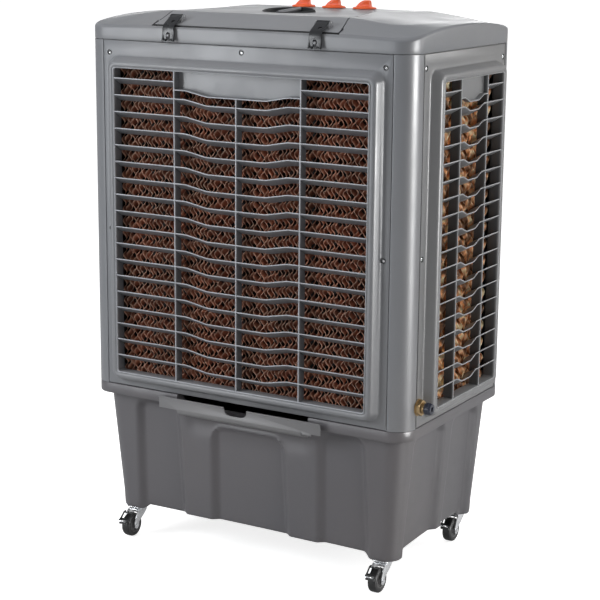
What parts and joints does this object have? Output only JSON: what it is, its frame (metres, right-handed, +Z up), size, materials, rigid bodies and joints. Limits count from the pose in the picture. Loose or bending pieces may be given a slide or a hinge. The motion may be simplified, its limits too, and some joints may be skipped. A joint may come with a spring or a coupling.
{
  "type": "evaporative cooler",
  "caption": "Portable evaporative cooler: grey box with slatted pad grilles on three sides, lidded cap with orange knobs, water tank on swivel casters.",
  "frame": {"origin": "on the floor, under the middle of the body, at the wheels' contact height", "axes": "+Z up; -Y the air outlet's side; +Y the back grille's side; -X the hose inlet's side"},
  "size_m": [0.776, 0.472, 1.0946],
  "materials": {
    "grey_plastic": "satin moulded, fine grain",
    "tank_plastic": "satin moulded, darker grey",
    "black_plastic": "matt moulded",
    "orange_plastic": "semi-gloss moulded",
    "white_plastic": "matt moulded",
    "pad_paper": "corrugated cellulose",
    "zinc_steel": "bright zinc plate",
    "brass": "turned",
    "wheel_rubber": "matt",
    "hose_rubber": "matt",
    "motor_paint": "semi-gloss enamel"
  },
  "bodies": {
    "root": {"water_tank": "tank_plastic", "main_frame": "grey_plastic", "top_cap": "grey_plastic", "rear_grille_panel": "grey_plastic", "left_grille_panel": "grey_plastic", "right_grille_panel": "grey_plastic", "rear_pad": "pad_paper", "left_pad": "pad_paper", "right_pad": "pad_paper", "front_panel": "grey_plastic", "fan_shroud": "black_plastic", "fan_motor": "motor_paint", "motor_bracket": "zinc_steel", "switch_box": "black_plastic", "water_pump": "black_plastic", "pump_tube": "hose_rubber", "water_distributor": "white_plastic", "float_valve": "white_plastic", "hose_inlet": "brass", "power_cord": "black_plastic", "ice_tray": "white_plastic", "caster_plate_rear_left": "zinc_steel", "caster_plate_rear_right": "zinc_steel", "caster_plate_front_left": "zinc_steel", "caster_plate_front_right": "zinc_steel"},
    "lid": {"lid": "grey_plastic"},
    "latch_left": {"latch_left": "black_plastic"},
    "latch_right": {"latch_right": "black_plastic"},
    "fill_door": {"fill_door": "tank_plastic"},
    "drain_plug": {"drain_plug": "black_plastic"},
    "inlet_plug": {"inlet_plug": "black_plastic"},
    "fan_rotor": {"fan_blade": "black_plastic"},
    "fan_speed_knob": {"fan_speed_knob": "orange_plastic"},
    "pump_knob": {"pump_knob": "orange_plastic"},
    "swing_knob": {"swing_knob": "orange_plastic"},
    "float_arm": {"float_arm": "white_plastic"},
    "swing_link_bar": {"swing_link_bar": "black_plastic"},
    "air_louver_1": {"air_louver_1": "grey_plastic"},
    "air_louver_2": {"air_louver_2": "grey_plastic"},
    "air_louver_3": {"air_louver_3": "grey_plastic"},
    "air_louver_4": {"air_louver_4": "grey_plastic"},
    "air_louver_5": {"air_louver_5": "grey_plastic"},
    "swing_vane_1": {"swing_vane_1": "black_plastic"},
    "swing_vane_2": {"swing_vane_2": "black_plastic"},
    "swing_vane_3": {"swing_vane_3": "black_plastic"},
    "swing_vane_4": {"swing_vane_4": "black_plastic"},
    "swing_vane_5": {"swing_vane_5": "black_plastic"},
    "caster_fork_rear_left": {"caster_fork_rear_left": "zinc_steel"},
    "caster_wheel_rear_left": {"caster_wheel_rear_left": "wheel_rubber"},
    "brake_pedal_rear_left": {"brake_pedal_rear_left": "zinc_steel"},
    "caster_fork_rear_right": {"caster_fork_rear_right": "zinc_steel"},
    "caster_wheel_rear_right": {"caster_wheel_rear_right": "wheel_rubber"},
    "brake_pedal_rear_right": {"brake_pedal_rear_right": "zinc_steel"},
    "caster_fork_front_left": {"caster_fork_front_left": "zinc_steel"},
    "caster_wheel_front_left": {"caster_wheel_front_left": "wheel_rubber"},
    "brake_pedal_front_left": {"brake_pedal_front_left": "zinc_steel"},
    "caster_fork_front_right": {"caster_fork_front_right": "zinc_steel"},
    "caster_wheel_front_right": {"caster_wheel_front_right": "wheel_rubber"},
    "brake_pedal_front_right": {"brake_pedal_front_right": "zinc_steel"}
  },
  "joints": [
    {"name": "lid_hinge", "type": "hinge", "parent": "root", "child": "lid", "pos_m": [0, -0.0954, 1.0755], "axis": [1, 0, 0], "range_deg": [0, 90]},
    {"name": "latch_left_pivot", "type": "hinge", "parent": "lid", "child": "latch_left", "pos_m": [0.16, 0.19, 1.069], "axis": [1, 0, 0], "range_deg": [0, 110]},
    {"name": "latch_right_pivot", "type": "hinge", "parent": "lid", "child": "latch_right", "pos_m": [-0.16, 0.19, 1.069], "axis": [1, 0, 0], "range_deg": [0, 110]},
    {"name": "fill_door_hinge", "type": "hinge", "parent": "root", "child": "fill_door", "pos_m": [0, 0.2005, 0.289], "axis": [-1, 0, 0], "range_deg": [-12, 38]},
    {"name": "drain_plug_pull", "type": "slide", "parent": "root", "child": "drain_plug", "axis": [1, 0, 0], "range_m": [0, 0.05]},
    {"name": "inlet_plug_pull", "type": "slide", "parent": "root", "child": "inlet_plug", "axis": [-1, 0, 0], "range_m": [0, 0.03]},
    {"name": "fan_spin", "type": "hinge", "parent": "root", "child": "fan_rotor", "pos_m": [0, -0.078, 0.685], "axis": [0, 1, 0], "continuous": true},
    {"name": "fan_speed_turn", "type": "hinge", "parent": "root", "child": "fan_speed_knob", "pos_m": [0.07, -0.13, 1.0771], "axis": [0, 0, -1], "range_deg": [0, 150]},
    {"name": "pump_knob_turn", "type": "hinge", "parent": "root", "child": "pump_knob", "pos_m": [0, -0.13, 1.0771], "axis": [0, 0, -1], "range_deg": [0, 90]},
    {"name": "swing_knob_turn", "type": "hinge", "parent": "root", "child": "swing_knob", "pos_m": [-0.07, -0.13, 1.0771], "axis": [0, 0, -1], "range_deg": [0, 90]},
    {"name": "float_arm_pivot", "type": "hinge", "parent": "root", "child": "float_arm", "pos_m": [-0.303, 0.15, 0.36], "axis": [0, 1, 0], "range_deg": [0, 25]},
    {"name": "air_louver_1_tilt", "type": "hinge", "parent": "root", "child": "air_louver_1", "pos_m": [0, -0.196, 0.513], "axis": [1, 0, 0], "range_deg": [-35, 35]},
    {"name": "air_louver_2_tilt", "type": "hinge", "parent": "root", "child": "air_louver_2", "pos_m": [0, -0.196, 0.599], "axis": [1, 0, 0], "range_deg": [-35, 35]},
    {"name": "air_louver_3_tilt", "type": "hinge", "parent": "root", "child": "air_louver_3", "pos_m": [0, -0.196, 0.685], "axis": [1, 0, 0], "range_deg": [-35, 35]},
    {"name": "air_louver_4_tilt", "type": "hinge", "parent": "root", "child": "air_louver_4", "pos_m": [0, -0.196, 0.771], "axis": [1, 0, 0], "range_deg": [-35, 35]},
    {"name": "air_louver_5_tilt", "type": "hinge", "parent": "root", "child": "air_louver_5", "pos_m": [0, -0.196, 0.857], "axis": [1, 0, 0], "range_deg": [-35, 35]},
    {"name": "swing_vane_1_turn", "type": "hinge", "parent": "root", "child": "swing_vane_1", "pos_m": [-0.192, -0.15, 0], "axis": [0, 0, 1], "range_deg": [-35, 35]},
    {"name": "swing_vane_2_turn", "type": "hinge", "parent": "root", "child": "swing_vane_2", "pos_m": [-0.096, -0.15, 0], "axis": [0, 0, 1], "range_deg": [-35, 35]},
    {"name": "swing_vane_3_turn", "type": "hinge", "parent": "root", "child": "swing_vane_3", "pos_m": [0, -0.15, 0], "axis": [0, 0, 1], "range_deg": [-35, 35]},
    {"name": "swing_vane_4_turn", "type": "hinge", "parent": "root", "child": "swing_vane_4", "pos_m": [0.096, -0.15, 0], "axis": [0, 0, 1], "range_deg": [-35, 35]},
    {"name": "swing_vane_5_turn", "type": "hinge", "parent": "root", "child": "swing_vane_5", "pos_m": [0.192, -0.15, 0], "axis": [0, 0, 1], "range_deg": [-35, 35]},
    {"name": "swing_link_slide", "type": "slide", "parent": "root", "child": "swing_link_bar", "axis": [-1, 0, 0], "range_m": [-0.009, 0.009]},
    {"name": "swivel_rear_left", "type": "hinge", "parent": "root", "child": "caster_fork_rear_left", "pos_m": [0.288, 0.1615, 0.055], "axis": [0, 0, 1], "continuous": true},
    {"name": "wheel_spin_rear_left", "type": "hinge", "parent": "caster_fork_rear_left", "child": "caster_wheel_rear_left", "pos_m": [0.288, 0.184, 0.024], "axis": [1, 0, 0], "continuous": true},
    {"name": "brake_rear_left", "type": "hinge", "parent": "caster_fork_rear_left", "child": "brake_pedal_rear_left", "pos_m": [0.288, 0.1925, 0.05], "axis": [-1, 0, 0], "range_deg": [0, 8]},
    {"name": "swivel_rear_right", "type": "hinge", "parent": "root", "child": "caster_fork_rear_right", "pos_m": [-0.288, 0.1615, 0.055], "axis": [0, 0, 1], "continuous": true},
    {"name": "wheel_spin_rear_right", "type": "hinge", "parent": "caster_fork_rear_right", "child": "caster_wheel_rear_right", "pos_m": [-0.288, 0.184, 0.024], "axis": [1, 0, 0], "continuous": true},
    {"name": "brake_rear_right", "type": "hinge", "parent": "caster_fork_rear_right", "child": "brake_pedal_rear_right", "pos_m": [-0.288, 0.1925, 0.05], "axis": [-1, 0, 0], "range_deg": [0, 8]},
    {"name": "swivel_front_left", "type": "hinge", "parent": "root", "child": "caster_fork_front_left", "pos_m": [0.288, -0.1615, 0.055], "axis": [0, 0, 1], "continuous": true},
    {"name": "wheel_spin_front_left", "type": "hinge", "parent": "caster_fork_front_left", "child": "caster_wheel_front_left", "pos_m": [0.288, -0.139, 0.024], "axis": [1, 0, 0], "continuous": true},
    {"name": "brake_front_left", "type": "hinge", "parent": "caster_fork_front_left", "child": "brake_pedal_front_left", "pos_m": [0.288, -0.1305, 0.05], "axis": [-1, 0, 0], "range_deg": [0, 8]},
    {"name": "swivel_front_right", "type": "hinge", "parent": "root", "child": "caster_fork_front_right", "pos_m": [-0.288, -0.1615, 0.055], "axis": [0, 0, 1], "continuous": true},
    {"name": "wheel_spin_front_right", "type": "hinge", "parent": "caster_fork_front_right", "child": "caster_wheel_front_right", "pos_m": [-0.288, -0.139, 0.024], "axis": [1, 0, 0], "continuous": true},
    {"name": "brake_front_right", "type": "hinge", "parent": "caster_fork_front_right", "child": "brake_pedal_front_right", "pos_m": [-0.288, -0.1305, 0.05], "axis": [-1, 0, 0], "range_deg": [0, 8]}
  ],
  "couplings": [
    {"joint": "air_louver_2_tilt", "follows": "air_louver_1_tilt", "ratio": 1},
    {"joint": "air_louver_3_tilt", "follows": "air_louver_1_tilt", "ratio": 1},
    {"joint": "air_louver_4_tilt", "follows": "air_louver_1_tilt", "ratio": 1},
    {"joint": "air_louver_5_tilt", "follows": "air_louver_1_tilt", "ratio": 1},
    {"joint": "swing_vane_2_turn", "follows": "swing_vane_1_turn", "ratio": 1},
    {"joint": "swing_vane_3_turn", "follows": "swing_vane_1_turn", "ratio": 1},
    {"joint": "swing_vane_4_turn", "follows": "swing_vane_1_turn", "ratio": 1},
    {"joint": "swing_vane_5_turn", "follows": "swing_vane_1_turn", "ratio": 1},
    {"joint": "swing_link_slide", "follows": "swing_vane_1_turn", "m_per_rad": 0.0122}
  ]
}
